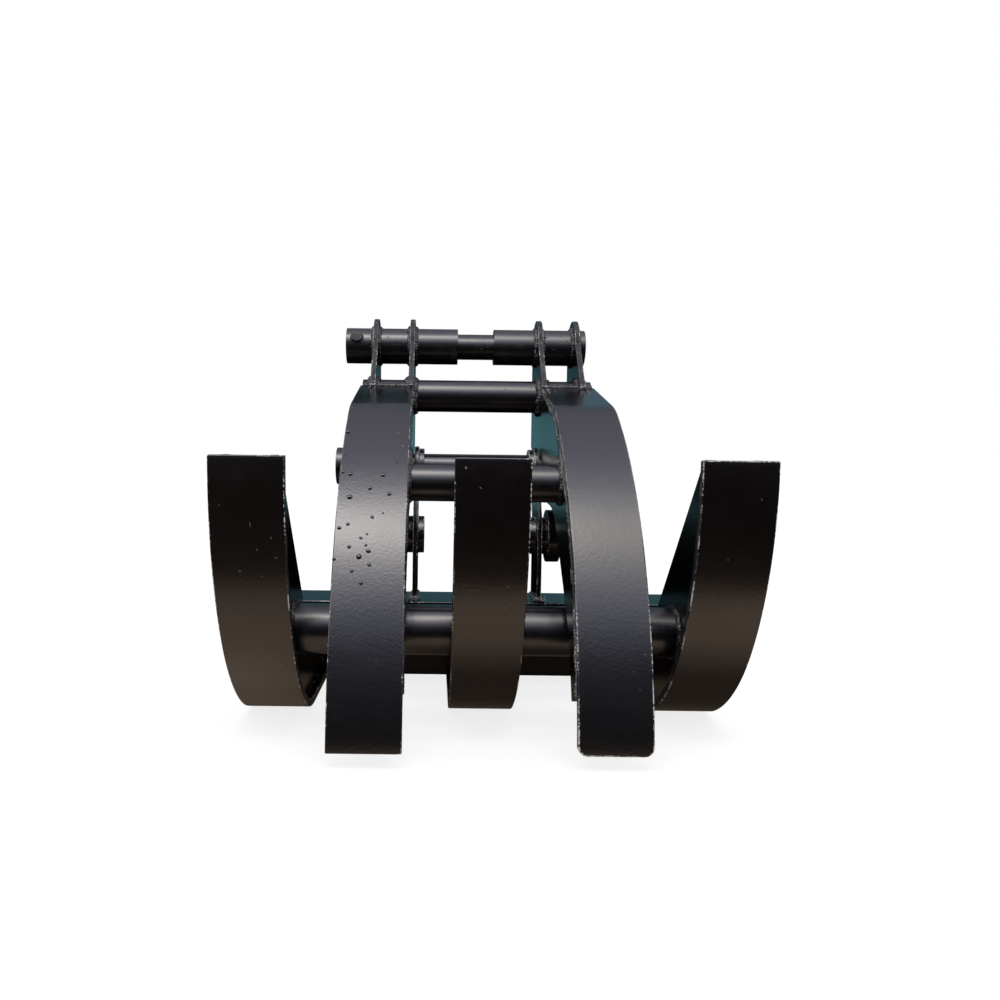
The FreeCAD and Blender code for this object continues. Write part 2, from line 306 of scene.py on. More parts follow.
def paint_layers(nodes, base, lightest):
    """Place, colour, roughness and height of sprayed black paint with dust and runs."""
    place = nodes.coordinates()
    broad = nodes.noise(place, 11.0, 3.0)
    medium = nodes.noise(place, 85.0, 3.0, 0.6)
    peel = nodes.noise(place, 400.0, 2.0, 0.55)
    grain = nodes.noise(place, 2600.0, 1.0)
    runs = nodes.noise(nodes.stretched(place, (1.0, 0.22, 0.22)), 240.0, 3.0, 0.6)
    dust = grain.above(0.68, 0.08) * medium.above(0.58, 0.2)
    colour = nodes.mix(broad, opaque(base, 0.75), opaque(base, lightest))
    colour = nodes.mix(dust * 0.12, colour, opaque(colours().dust))
    gloss = 0.19 + (broad - 0.5) * 0.10 + (medium - 0.5) * 0.08 + dust * 0.06
    height = peel * 0.9 + runs * 0.35 + medium * 0.6 + grain * 0.1
    return place, colour, gloss, height


def paint_material(name, base, specular=0.5):
    """Gloss black paint with orange peel, faint flow marks, dust and uneven gloss."""
    material, nodes = new_material(name)
    _, colour, gloss, height = paint_layers(nodes, base, 1.5)
    normal = nodes.bump(height, 0.0004, 0.36)
    nodes.surface(**{"Base Color": colour, "Roughness": gloss, "Normal": normal,
                     "Specular IOR Level": specular})
    return material


def drop_material(name, base):
    """Water over black paint: black, with a clear gloss and a slightly uneven face."""
    material, nodes = new_material(name)
    place = nodes.coordinates()
    wobble = nodes.noise(place, 500.0, 2.0)
    normal = nodes.bump(wobble, 0.0003, 0.15)
    colour = nodes.mix(wobble, opaque(base, 0.8), opaque(base, 1.4))
    nodes.surface(**{"Base Color": colour, "Roughness": 0.04 + wobble * 0.03, "Normal": normal})
    return material


def chipped_material(name, base, share, top=1.0):
    """Paint along an edge, chipped through to steel here and there below a height."""
    material, nodes = new_material(name)
    place, colour, gloss, height = paint_layers(nodes, base, 3.0)
    chips = nodes.noise(place, 420.0, 4.0, 0.7)
    patches = nodes.noise(place, 40.0, 2.0)
    low = 1.0 - nodes.axis(place, "Z").above(top, 0.1) * 0.75
    bare = (chips * 0.6 + patches * 0.4).above(1.0 - share, 0.04) * low
    fresh = nodes.noise(place, 900.0)
    bright = colours().bare_steel
    steel = nodes.mix(fresh, opaque(bright, 0.5), opaque(bright, 2.0))
    normal = nodes.bump(height * 0.3 - bare * 0.8, 0.0004, 0.4)
    nodes.surface(**{"Base Color": nodes.mix(bare, colour, steel),
                     "Roughness": gloss + bare * 0.18, "Normal": normal})
    return material


def bare_specks_and_glints(grains, patches, bare):
    """Fine grains that shine in patches, more of them the larger the bare share is: partly bare
    steel and partly painted glints, a bright colour standing in for highlights.
    """
    return grains.above(0.62 - bare * 0.12, 0.05) * patches.above(0.55 - bare * 0.2, 0.12)


def cut_edge_material(name, base, bare):
    """Flame-cut edge: fine drag lines and coarse grains, with a share of them bright: partly bare
    steel and partly painted glints.
    """
    material, nodes = new_material(name)
    place = nodes.coordinates()
    lines = nodes.noise(nodes.stretched(place, (0.15, 1.0, 1.0)), 900.0, 2.0, 0.6)
    grains = nodes.noise(place, 900.0, 3.0, 0.7)
    patches = nodes.noise(place, 70.0, 2.0)
    bright = bare_specks_and_glints(grains, patches, bare)
    colour = nodes.mix(grains, opaque(base, 0.8), opaque(base, 3.0))
    # Bright specks: partly bare steel, partly painted glints.
    colour = nodes.mix(bright, colour, opaque(colours().bare_steel, 1.2))
    normal = nodes.bump(lines * 0.8 + grains * 0.6, 0.0006, 0.6)
    nodes.surface(**{"Base Color": colour, "Roughness": 0.38 + grains * 0.2, "Normal": normal,
                     "Specular IOR Level": 0.18})
    return material


def weld_material(name, base, bare):
    """Painted weld metal, lumpy and dark, with a share of bright specks and scuffs: partly bare
    steel and partly painted glints.
    """
    material, nodes = new_material(name)
    place = nodes.coordinates()
    lumps = nodes.noise(place, 300.0, 3.0, 0.6)
    grains = nodes.noise(place, 800.0, 3.0, 0.7)
    patches = nodes.noise(place, 80.0, 2.0)
    bright = bare_specks_and_glints(grains, patches, bare)
    colour = nodes.mix(lumps, opaque(base, 0.6), opaque(base, 2.2))
    # Bright specks: partly bare steel, partly painted glints.
    colour = nodes.mix(bright, colour, opaque(colours().bare_steel, 1.3))
    normal = nodes.bump(lumps * 1.4 + grains * 0.6, 0.0009, 0.9)
    nodes.surface(**{"Base Color": colour, "Roughness": 0.16 + lumps * 0.2, "Normal": normal,
                     "Specular IOR Level": 0.3})
    return material


def turned_material(name, base, metal):
    """Turned steel under a thin coat of dark paint, with faint lathe rings."""
    material, nodes = new_material(name)
    place = nodes.coordinates()
    rings = nodes.noise(nodes.stretched(place, (1.0, 0.02, 0.02)), 1400.0, 2.0, 0.6)
    medium = nodes.noise(place, 90.0, 3.0, 0.6)
    grain = nodes.noise(place, 2200.0, 1.0)
    worn = medium.above(0.62, 0.15)
    colour = nodes.mix(medium, opaque(base, 0.8), opaque(base, 1.6))
    colour = nodes.mix(worn * 0.04, colour, opaque(colours().bare_steel, 0.5))
    normal = nodes.bump(rings * 0.6 + grain * 0.2 + medium * 0.6, 0.0004, 0.16)
    nodes.surface(**{"Base Color": colour, "Roughness": 0.16 + rings * 0.08 + medium * 0.06,
                     "Metallic": worn * metal, "Normal": normal})
    return material


# Each finish as the function that makes it, the colour that it starts from and its settings
FINISHES = {
    # The two jaw paints are the same paint, tinted apart as painted light.
    "upper_paint": (paint_material, "upper_paint"),
    "lower_paint": (paint_material, "lower_paint"),
    "web_paint": (paint_material, "lower_paint", 0.2),
    "upper_edge": (chipped_material, "upper_paint", 0.44),
    "worn_edge": (chipped_material, "upper_paint", 0.485, -0.12),
    "lower_edge": (chipped_material, "lower_paint", 0.455),
    "cut_edge": (cut_edge_material, "upper_paint", 0.1),
    "torn_edge": (cut_edge_material, "upper_paint", 0.6),
    "weld_bead": (weld_material, "weld", 0.2),
    # Weld with more bright specks: painted highlights as well as bare steel.
    "bare_weld": (weld_material, "weld", 0.6),
    "paint_nick": (turned_material, "dust", 0.0),
    "turned_pin": (turned_material, "upper_paint", 0.2),
    "tube_paint": (turned_material, "upper_paint", 0.0),
    "rain_drop": (drop_material, "upper_paint"),
}


def finish(name):
    """The finish of that name, made the first time that it is asked for."""
    make, colour, *settings = FINISHES[name]
    return bpy.data.materials.get(name) or make(name, getattr(colours(), colour), *settings)


def use_finish(piece, *names):
    """Fills a piece's slots in order, and leaves each face in the slot that it has."""
    slots = piece.data.materials
    for place, name in enumerate(names):
        if place < len(slots):
            slots[place] = finish(name)
        else:
            slots.append(finish(name))


# Modelling by hand in code

PICK_MODES = {
    "vertices": (True, False, False),
    "edges": (False, True, False),
    "polygons": (False, False, True),
}


def select_none():
    if bpy.context.object and bpy.context.object.mode != "OBJECT":
        bpy.ops.object.mode_set(mode="OBJECT")
    bpy.ops.object.select_all(action="DESELECT")


def select_only(piece):
    select_none()
    piece.select_set(True)
    bpy.context.view_layer.objects.active = piece


def linked(name, data):
    """A new object in the scene."""
    thing = bpy.data.objects.new(name, data)
    bpy.context.scene.collection.objects.link(thing)
    return thing


def new_piece(add, **settings):
    """A primitive, alone in the selection."""
    select_none()
    add(**settings)
    return bpy.context.object


def pick(piece, kind, test):
    """Goes into edit mode with only the parts of the mesh that pass the test selected."""
    bpy.ops.object.mode_set(mode="OBJECT")
    mesh = piece.data
    for group in (mesh.vertices, mesh.edges, mesh.polygons):
        group.foreach_set("select", [False] * len(group))
    for item in getattr(mesh, kind):
        item.select = test(item)
    bpy.context.tool_settings.mesh_select_mode = PICK_MODES[kind]
    bpy.ops.object.mode_set(mode="EDIT")


def edit_all(piece):
    pick(piece, "vertices", lambda vertex: True)


def leave_edit():
    bpy.ops.object.mode_set(mode="OBJECT")


def place_in_mesh(piece):
    select_only(piece)
    bpy.ops.object.transform_apply(location=True, rotation=True, scale=True)


def apply_modifiers(piece):
    select_only(piece)
    for modifier in list(piece.modifiers):
        bpy.ops.object.modifier_apply(modifier=modifier.name)


def joined(pieces):
    """The first of the pieces, with the others joined to it."""
    select_only(pieces[0])
    for piece in pieces[1:]:
        piece.select_set(True)
    bpy.ops.object.join()
    return pieces[0]


def copy_at(model, matrix):
    """A copy of a model with its own mesh, put in place by the matrix."""
    piece = linked(model.name, model.data.copy())
    piece.data.transform(matrix)
    return piece


def surface_tree(node):
    """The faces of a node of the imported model, for finding places on them."""
    mesh = frame["nodes"][node].data
    places = [vertex.co for vertex in mesh.vertices]
    return BVHTree.FromPolygons(places, [tuple(face.vertices) for face in mesh.polygons])


def settle(piece, name, body, slot_name, *finishes):
    """Names a finished piece and gives it its body and finishes. Its slot name is not used."""
    place_in_mesh(piece)
    piece.name = name
    piece.data.name = name
    use_finish(piece, *finishes)
    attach(piece, body)


def copy_of_node(node):
    """A merged copy of a node's mesh, as a new piece."""
    piece = linked(node + "_steel", frame["nodes"][node].data.copy())
    select_only(piece)
    bpy.ops.mesh.customdata_custom_splitnormals_clear()
    edit_all(piece)
    bpy.ops.mesh.remove_doubles(threshold=0.000002)
    bpy.ops.mesh.dissolve_limited(angle_limit=math.radians(0.3))
    leave_edit()
    piece.data.materials.clear()
    return piece


def soften_edges(piece, width):
    """Rounds the sharp edges a little and keeps the flat faces flat in the light."""
    bevel = piece.modifiers.new("worn_edges", "BEVEL")
    bevel.width = width
    bevel.segments = 2
    bevel.limit_method = "ANGLE"
    bevel.angle_limit = math.radians(40.0)
    bevel.material = EDGE_SLOT
    flat = piece.modifiers.new("flat_faces", "WEIGHTED_NORMAL")
    flat.keep_sharp = True
    bpy.ops.object.shade_smooth()
    apply_modifiers(piece)


def steel_from_node(node, body, width, finishes, is_cut_face=None):
    """Replaces a node by a copy with worn edges and its finishes."""
    piece = copy_of_node(node)
    use_finish(piece, *finishes)
    if is_cut_face:
        for face in piece.data.polygons:
            if is_cut_face(face):
                face.material_index = CUT_SLOT
    soften_edges(piece, width)
    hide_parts(node)
    settle(piece, node + "_steel", body, "black_paint", *finishes)


def looks_sideways(face):
    """A face of a bent plate's long edges."""
    return abs(face.normal.x) > FACING


def across_plate(face):
    """A face of a plate's cut edge, which doesn't look along X."""
    return abs(face.normal.x) < 0.5


# Plates and tubes

class GRAPPLE_OT_tine_faces(bpy.types.Operator):
    """Bent face plates of the five tines, with chipped edges"""
    bl_idname = "grapple.tine_faces"
    bl_label = "Tine faces"

    def execute(self, context):
        width = sizes().plate_edge
        worn_width = 1.5 * width
        left, right = UPPER_FACES
        sound = ("upper_paint", "upper_edge", "cut_edge")
        worn = ("upper_paint", "worn_edge", "torn_edge")
        steel_from_node(left, UPPER, width, sound, looks_sideways)
        steel_from_node(right, UPPER, worn_width, worn, looks_sideways)
        lower = ("lower_paint", "lower_edge", "cut_edge")
        for node in LOWER_FACES:
            steel_from_node(node, LOWER, width, lower, looks_sideways)
        return {"FINISHED"}


class GRAPPLE_OT_side_plates(bpy.types.Operator):
    """Side plates with their ears, the webs of the lower tines, the arms and the beam"""
    bl_idname = "grapple.side_plates"
    bl_label = "Side plates, webs, arms and beam"

    def execute(self, context):
        width = sizes().plate_edge
        upper = ("upper_paint", "upper_edge", "cut_edge")
        for node in SIDE_PLATES:
            steel_from_node(node, UPPER, width, upper, across_plate)
        for node in LOWER_WEBS:
            steel_from_node(node, LOWER, width, ("web_paint", "lower_edge"))
        for node in ARMS + [BEAM]:
            steel_from_node(node, LOWER, width, ("lower_paint", "lower_edge"))
        return {"FINISHED"}


class GRAPPLE_OT_tubes(bpy.types.Operator):
    """Cross tubes and pin sleeves with softened ends"""
    bl_idname = "grapple.tubes"
    bl_label = "Tubes and sleeves"

    def execute(self, context):
        width = sizes().tube_edge
        finishes = ("tube_paint", "upper_edge")
        for node, body in TUBES.items():
            steel_from_node(node, body, width, finishes)
        for node in SLEEVES:
            steel_from_node(node, UPPER, width, finishes)
        return {"FINISHED"}


def end_face(piece, side):
    """A test that only the flat end of a piece on one side passes."""
    reach = side * max(side * vertex.co.x for vertex in piece.data.vertices)
    return lambda face: abs(face.center.x - reach) < SAME_PLACE and abs(face.normal.x) > FACING


def pin_model(node):
    """A turned pin with chamfered ends and a centre hole in each."""
    low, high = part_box(node)
    radius = (high.z - low.z) / 2
    chamfer = sizes().pin_chamfer
    length = high.x - low.x - 2 * chamfer
    piece = new_piece(
        bpy.ops.mesh.primitive_cylinder_add, vertices=96, radius=radius, depth=length,
        location=(low + high) / 2, rotation=(0.0, math.pi / 2, 0.0))
    place_in_mesh(piece)
    for side in (-1, 1):
        out = Vector((side, 0.0, 0.0))
        pick(piece, "polygons", end_face(piece, side))
        bpy.ops.mesh.extrude_region_move(TRANSFORM_OT_translate={"value": out * chamfer})
        inward_size = (radius - chamfer) / radius
        bpy.ops.transform.resize(value=(1.0, inward_size, inward_size))
        bpy.ops.mesh.inset(thickness=radius * CENTRE_HOLE_RIM)
        bpy.ops.mesh.extrude_region_move(TRANSFORM_OT_translate={"value": out * -chamfer})
        bpy.ops.transform.resize(value=(1.0, CENTRE_HOLE_BOTTOM, CENTRE_HOLE_BOTTOM))
    leave_edit()
    soften_edges(piece, sizes().tube_edge / 2)
    return piece


class GRAPPLE_OT_pins(bpy.types.Operator):
    """Link pin and stick pin, turned and chamfered"""
    bl_idname = "grapple.pins"
    bl_label = "Pins"

    def execute(self, context):
        for node in PINS:
            piece = pin_model(node)
            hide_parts(node)
            settle(piece, node + "_turned", UPPER, "pin_steel", "turned_pin", "upper_edge")
        return {"FINISHED"}


# Lock bolts

def hex_block(across, low, height, up):
    """A hexagon with its outer corners chamfered, from z = low to low + height."""
    piece = new_piece(
        bpy.ops.mesh.primitive_cylinder_add, vertices=6, radius=across / math.sqrt(3),
        depth=height, location=(0.0, 0.0, low + height / 2))
    place_in_mesh(piece)
    outer = low + height if up > 0 else low
    pick(piece, "polygons", lambda face: abs(face.center.z - outer) < SAME_PLACE)
    bpy.ops.mesh.inset(thickness=across * HEX_INSET)
    pick(piece, "edges", lambda edge: all(
        abs(piece.data.vertices[i].co.z - outer) < SAME_PLACE
        and piece.data.vertices[i].co.xy.length > across * HEX_CORNER_REACH
        for i in edge.vertices))
    bpy.ops.transform.translate(value=(0.0, 0.0, -up * across * HEX_CHAMFER))
    leave_edit()
    soften_edges(piece, FASTENER_ROUNDING)
    return piece


def washer(low):
    """A flat ring with a softened rim."""
    piece = new_piece(
        bpy.ops.mesh.primitive_cylinder_add, vertices=48, radius=LOCK_ACROSS * WASHER_REACH,
        depth=LOCK_WASHER, location=(0.0, 0.0, low + LOCK_WASHER / 2))
    place_in_mesh(piece)
    pick(piece, "polygons", lambda face: abs(face.normal.z) > FACING)
    bpy.ops.mesh.inset(thickness=LOCK_ACROSS * WASHER_RIM)
    leave_edit()
    soften_edges(piece, FASTENER_ROUNDING)
    return piece


def threaded_end(start, turns):
    """The bolt's end below its nut, with a ridge for each turn of its thread."""
    piece = new_piece(
        bpy.ops.mesh.primitive_cylinder_add, vertices=32, radius=LOCK_RADIUS * THREAD_ROOT,
        depth=LOCK_THREAD_PITCH / 2, location=(0.0, 0.0, start))
    place_in_mesh(piece)
    step = Vector((0.0, 0.0, -LOCK_THREAD_PITCH / 2))
    pick(piece, "polygons", lambda face: face.normal.z < -FACING)
    for turn in range(2 * turns):
        bpy.ops.mesh.extrude_region_move(TRANSFORM_OT_translate={"value": step})
        size = 1 / THREAD_ROOT if turn % 2 == 0 else THREAD_ROOT
        bpy.ops.transform.resize(value=(size, size, 1.0))
    leave_edit()
    bpy.ops.object.shade_smooth_by_angle(angle=math.radians(30.0))
    return piece


def lock_bolt_model():
    """Bolt, nut and washers along Z, for a sleeve that runs along X at the origin."""
    low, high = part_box("stick_pin_sleeves")
    seat = (high.z - low.z) / 2 - LOCK_WASHER / 3
    pieces = [
        washer(seat),
        washer(-seat - LOCK_WASHER),
        hex_block(LOCK_ACROSS, seat + LOCK_WASHER, LOCK_HEAD, 1),
        hex_block(LOCK_ACROSS, -seat - LOCK_WASHER - LOCK_NUT, LOCK_NUT, -1),
        threaded_end(-seat - LOCK_WASHER - LOCK_NUT, 2),
    ]
    for piece in pieces:
        use_finish(piece, "cut_edge", "upper_edge")
    return joined(pieces)


class GRAPPLE_OT_lock_bolts(bpy.types.Operator):
    """Lock bolts through the left sleeves of both pins"""
    bl_idname = "grapple.lock_bolts"
    bl_label = "Lock bolts"

    def execute(self, context):
        model = lock_bolt_model()
        lean = Matrix.Rotation(math.pi / 2 - LOCK_ANGLE, 4, "X")
        places = (LOCK_FROM_END, LOCK_FROM_END + STICK_LOCK_SHIFT)
        for pin, sleeves, from_end in zip(PINS, SLEEVES, places):
            low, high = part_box(pin)
            centre = (low + high) / 2
            centre.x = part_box(sleeves)[0].x + from_end
            bolt = copy_at(model, Matrix.Translation(centre) @ lean)
            settle(bolt, pin + "_lock_bolt_set", UPPER, "zinc_fastener", "cut_edge", "upper_edge")
            if pin == "link_pin":
                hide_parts("link_pin_lock_bolt")
        bpy.data.objects.remove(model)
        return {"FINISHED"}


# Welds

def ring_bead_model(radius, leg):
    """A bead round the X axis, with the ripples that hand welding leaves."""
    ripples = round(2 * math.pi * radius / sizes().ripple_pitch)
    around = 12
    per_ripple = 3
    piece = new_piece(
        bpy.ops.mesh.primitive_torus_add, major_radius=radius - leg * BEAD_SINK,
        minor_radius=leg, major_segments=per_ripple * ripples, minor_segments=around,
        rotation=(0.0, math.pi / 2, 0.0))
    place_in_mesh(piece)
    pick(piece, "vertices", lambda vertex: vertex.index // around % per_ripple == 0)
    bpy.ops.transform.shrink_fatten(value=leg * RIPPLE_RISE)
    bpy.ops.transform.vertex_random(offset=leg * RIPPLE_SCATTER, seed=3)
    edit_all(piece)
    bpy.ops.transform.vertex_random(offset=leg * BEAD_SCATTER, seed=5)
    leave_edit()
    swell = piece.modifiers.new("uneven_bead", "DISPLACE")
    swell.texture = bpy.data.textures.new("bead_lumps", "CLOUDS")
    swell.texture.noise_scale = 0.007
    swell.strength = leg * BEAD_SWELL
    swell.mid_level = 0.55
    swell.texture_coords = "LOCAL"
    bpy.ops.object.shade_smooth()
    apply_modifiers(piece)
    return piece


def span_of(node):
    low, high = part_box(node)
    return low.x, high.x


def crossings(span, plates):
    """The x of each plate face that lies well inside a tube's span."""
    margin = 0.001
    places = [x for plate in plates for x in span_of(plate)]
    return [x for x in places if span[0] + margin < x < span[1] - margin]


def ring_joints():
    """Each tube and pair of sleeves with the places along X where plates meet it."""
    plate_gap_half = span_of("upper_right_inner_side_plate")[0]
    joints = []
    for node, gap_half in zip(SLEEVES, (LINK_GAP_HALF, plate_gap_half)):
        low_x, high_x = span_of(node)
        left = crossings((low_x, -gap_half), SIDE_PLATES)
        right = crossings((gap_half, high_x), SIDE_PLATES)
        joints.append((node, UPPER, left + right))
    joints.append((BACK_TUBE, UPPER, crossings(span_of(BACK_TUBE), SIDE_PLATES)))
    joints.append(("upper_front_tube", UPPER, span_of("upper_front_tube")))
    places = crossings(span_of("lower_cross_tube"), LOWER_WEBS)
    joints.append(("lower_cross_tube", LOWER, places))
    return joints


class GRAPPLE_OT_ring_welds(bpy.types.Operator):
    """Beads round every sleeve and tube where it meets a plate"""
    bl_idname = "grapple.ring_welds"
    bl_label = "Ring welds"

    def execute(self, context):
        turn_between = 1.7
        for node, body, places in ring_joints():
            low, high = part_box(node)
            centre = (low + high) / 2
            heavy = HEAVY_RING if node == BACK_TUBE else 1.0
            model = ring_bead_model((high.z - low.z) / 2, heavy * sizes().ring_leg)
            for count, x in enumerate(places):
                turn = Matrix.Rotation(turn_between * count, 4, "X")
                bead = copy_at(model, Matrix.Translation((x, centre.y, centre.z)) @ turn)
                settle(bead, f"{node}_weld_{count}", body, "black_paint", "weld_bead")
            bpy.data.objects.remove(model)
        return {"FINISHED"}


def evenly(points, pitch):
    """Points at an even pitch along a line of straight runs."""
    spread = [points[0]]
    left = pitch
    for start, end in zip(points[:-1], points[1:]):
        run = (end - start).length
        while run > left:
            start = start + (end - start) * (left / run)
            run -= left
            spread.append(start)
            left = pitch
        left -= run
    return spread + [points[-1]]


def bead_along(name, points, leg, body, metal="weld_bead"):
    """A rippled bead along a line of points."""
    spread = evenly(points, sizes().ripple_pitch / 2)
    curve = bpy.data.curves.new(name, "CURVE")
    curve.dimensions = "3D"
    curve.bevel_depth = leg
    curve.bevel_resolution = 2
    curve.use_fill_caps = True
    spline = curve.splines.new("POLY")
    spline.points.add(len(spread) - 1)
    for count, (spot, place) in enumerate(zip(spline.points, spread)):
        spot.co = (*place, 1.0)
        uneven = BEAD_UNEVENNESS * noise.noise(place * UNEVENNESS_SCALE)
        spot.radius = 1.0 - RIPPLE_DEPTH * (count % 2) + uneven
    piece = linked(name, curve)
    select_only(piece)
    bpy.ops.object.convert(target="MESH")
    bpy.ops.object.shade_smooth()
    settle(piece, name, body, "black_paint", metal)


def touching_points(plate, face, x, centre):
    """Where one face of a plate meets a bent face plate, in order along the bend."""
    tree = surface_tree(face)
    reach = 0.0003
    found = {}
    for vertex in frame["nodes"][plate].data.vertices:
        if abs(vertex.co.x - x) < SAME_PLACE and tree.find_nearest(vertex.co)[3] < reach:
            angle = math.atan2(vertex.co.z - centre.z, -(vertex.co.y - centre.y))
            found[round(angle, 4)] = vertex.co.copy()
    return [found[angle] for angle in sorted(found)]


class GRAPPLE_OT_seam_welds(bpy.types.Operator):
    """Beads along the side plates and webs where they meet the tine faces"""
    bl_idname = "grapple.seam_welds"
    bl_label = "Seam welds"

    def seam(self, plate, face, body, centre):
        # This seam gets the weld with more bright specks, a painted highlight along it.
        metal = "bare_weld" if plate == "upper_right_inner_side_plate" else "weld_bead"
        for count, x in enumerate(span_of(plate)):
            points = touching_points(plate, face, x, centre)
            if len(points) > 1:
                bead_along(f"{plate}_seam_{count}", points, sizes().seam_leg, body, metal)

    def execute(self, context):
        for side, face in zip(SIDES, UPPER_FACES):
            for place in PLACES:
                self.seam(f"upper_{side}_{place}_side_plate", face, UPPER, UPPER_BEND_CENTRE)
        for tine, face in zip(TINES, LOWER_FACES):
            for side in SIDES:
                self.seam(f"lower_{tine}_tine_{side}_web", face, LOWER, LOWER_BEND_CENTRE)
        return {"FINISHED"}


def foot_bead(name, corners):
    """A bead on the lower jaw from corner to corner."""
    points = [Vector(corner) for corner in corners]
    bead_along(name, points, sizes().seam_leg * HEAVY_FOOT, LOWER)


def arm_foot_beads(arm, seat):
    """A ring of weld round an arm's foot, and a lump of it in front."""
    low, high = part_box(arm)
    near = ARM_INNER_X if low.x > 0 else -ARM_INNER_X - ARM_THICKNESS
    far = near + ARM_THICKNESS
    foot_bead(arm + "_foot", (
        (near, low.y, seat), (far, low.y, seat), (far, ARM_REAR_Y, seat),
        (near, ARM_REAR_Y, seat), (near, low.y, seat)))
    lump = [Vector((x, low.y - 0.003, seat + 0.001)) for x in (near - 0.004, far + 0.004)]
    # The lump has the weld with more bright specks, partly painted glints.
    bead_along(arm + "_foot_lump", lump, FOOT_LUMP_LEG, LOWER, "bare_weld")


class GRAPPLE_OT_foot_welds(bpy.types.Operator):
    """Beads round the arms' feet, along the webs under the beam and along the back tube"""
    bl_idname = "grapple.foot_welds"
    bl_label = "Foot welds"

    def execute(self, context):
        beam_low, beam_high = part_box(BEAM)
        for arm in ARMS:
            arm_foot_beads(arm, beam_high.z)
        under = beam_high.z - BEAM_THICKNESS
        for web in LOWER_WEBS:
            low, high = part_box(web)
            for count, x in enumerate((low.x, high.x)):
                foot_bead(f"{web}_beam_bead_{count}", (
                    (x, beam_low.y, under), (x, high.y, under), (x, high.y, low.z + 0.001)))
        for face in UPPER_FACES:
            low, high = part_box(face)
            ends = (low.x + BEAD_INSET, high.x - BEAD_INSET)
            line = [Vector((x, high.y - BEAD_INSET, high.z - 0.0008)) for x in ends]
            bead_along(face + "_back_tube_bead", line, BACK_TUBE_BEAD_LEG, UPPER)
        return {"FINISHED"}


# Rain drops

# Where the drops show in the picture, in its pixels, and their width in millimetres
DROPS = {
    "upper_left_tine_face": (
        (348, 432, 4.4), (343, 472, 3.2), (350, 474, 4.0), (383, 475, 4.2), (370, 488, 4.4),
        (389, 494, 4.0), (350, 497, 4.6), (372, 517, 3.0), (383, 513, 1.8), (348, 524, 3.2),
        (339, 528, 3.4), (361, 538, 2.6), (367, 534, 2.2), (349, 547, 3.4), (366, 545, 2.4),
        (368, 551, 3.6), (359, 557, 5.0), (334, 559, 3.2), (369, 565, 3.2), (352, 571, 2.8),
        (361, 583, 3.4), (394, 611, 1.8), (397, 462, 2.4), (356, 463, 1.8), (364, 467, 1.6),
        (399, 436, 2.0), (405, 434, 2.4), (376, 452, 1.6), (391, 449, 1.8), (345, 455, 2.2),
    ),
    "link_pin_sleeves": (
        (396, 341, 1.6), (399, 345, 2.0), (404, 343, 1.6), (408, 346, 1.6), (402, 339, 1.4),
        (394, 345, 1.4), (410, 341, 1.4), (388, 337, 1.6), (546, 338, 2.2), (541, 345, 1.6),
        (553, 350, 1.6), (560, 336, 1.6), (567, 341, 1.8), (571, 355, 1.4), (439, 340, 1.2),
    ),
    "link_pin": ((477, 346, 1.5), (482, 349, 1.8), (488, 347, 1.4), (468, 342, 1.2)),
    "upper_back_tube": (
        (512, 385, 1.8), (505, 389, 1.4), (460, 384, 1.2), (531, 388, 1.6), (424, 390, 1.4),
    ),
    "upper_right_tine_face": (
        (559, 412, 2.0), (567, 414, 1.6), (563, 421, 1.6), (575, 409, 1.2), (618, 423, 1.6),
        (634, 672, 1.2), (645, 655, 1.4),
    ),
}

# Nicks in the paint: place in the picture, length and width in millimetres, and lean in
# degrees. Then the shares of the length and width that are cut, and the height
NICKS = {
    "lower_left_tine_face": (
        (250, 525, 6.0, 0.5, 10), (271, 538, 3.0, 0.5, 20), (257, 550, 3.0, 0.4, -10),
        (276, 558, 3.5, 0.5, 75), (240, 571, 4.0, 0.6, 80), (262, 577, 2.5, 0.4, -50),
        (281, 666, 5.0, 0.4, -60), (219, 505, 1.5, 0.7, 0),
    ),
    "lower_centre_tine_face": (
        (466, 468, 3.0, 1.6, 30), (481, 488, 3.0, 0.6, 60), (508, 587, 2.5, 0.5, 20),
        (505, 608, 2.2, 0.5, -30),
    ),
    "lower_right_tine_face": ((762, 500, 3.0, 0.5, 25), (728, 560, 2.0, 0.5, -20)),
    "upper_left_tine_face": (
        (398, 433, 5.0, 0.7, 70), (403, 446, 4.0, 0.6, 40), (352, 408, 3.0, 0.7, 80),
    ),
    "upper_right_tine_face": ((640, 690, 2.0, 0.5, 30),),
}
NICK_LENGTH = 0.7
NICK_WIDTH = 0.8
NICK_HEIGHT = 0.2

# The camera, which also says where on the steel a pixel of the picture lies
VIEW_FROM = Vector((-0.047, -1.0337, 0.0072))
VIEW_TURN = (math.radians(90.0 - 2.5), math.radians(-0.7), 0.0)
VIEW_LENS = 32.4
VIEW_SENSOR = 36.0
VIEW_SHIFT = 0.065
PICTURE_SIZE = 1000


def on_surface(x, y, node):
    """The point of a node, and its outward normal, that shows at a pixel of the picture."""
    across = (x / PICTURE_SIZE - 0.5 + VIEW_SHIFT) * VIEW_SENSOR
    up = (0.5 - y / PICTURE_SIZE) * VIEW_SENSOR
    turn = Euler(VIEW_TURN).to_matrix()
    line = (turn @ Vector((across, up, -VIEW_LENS))).normalized()
    point, normal, _, _ = surface_tree(node).ray_cast(VIEW_FROM, line)
    return point, normal


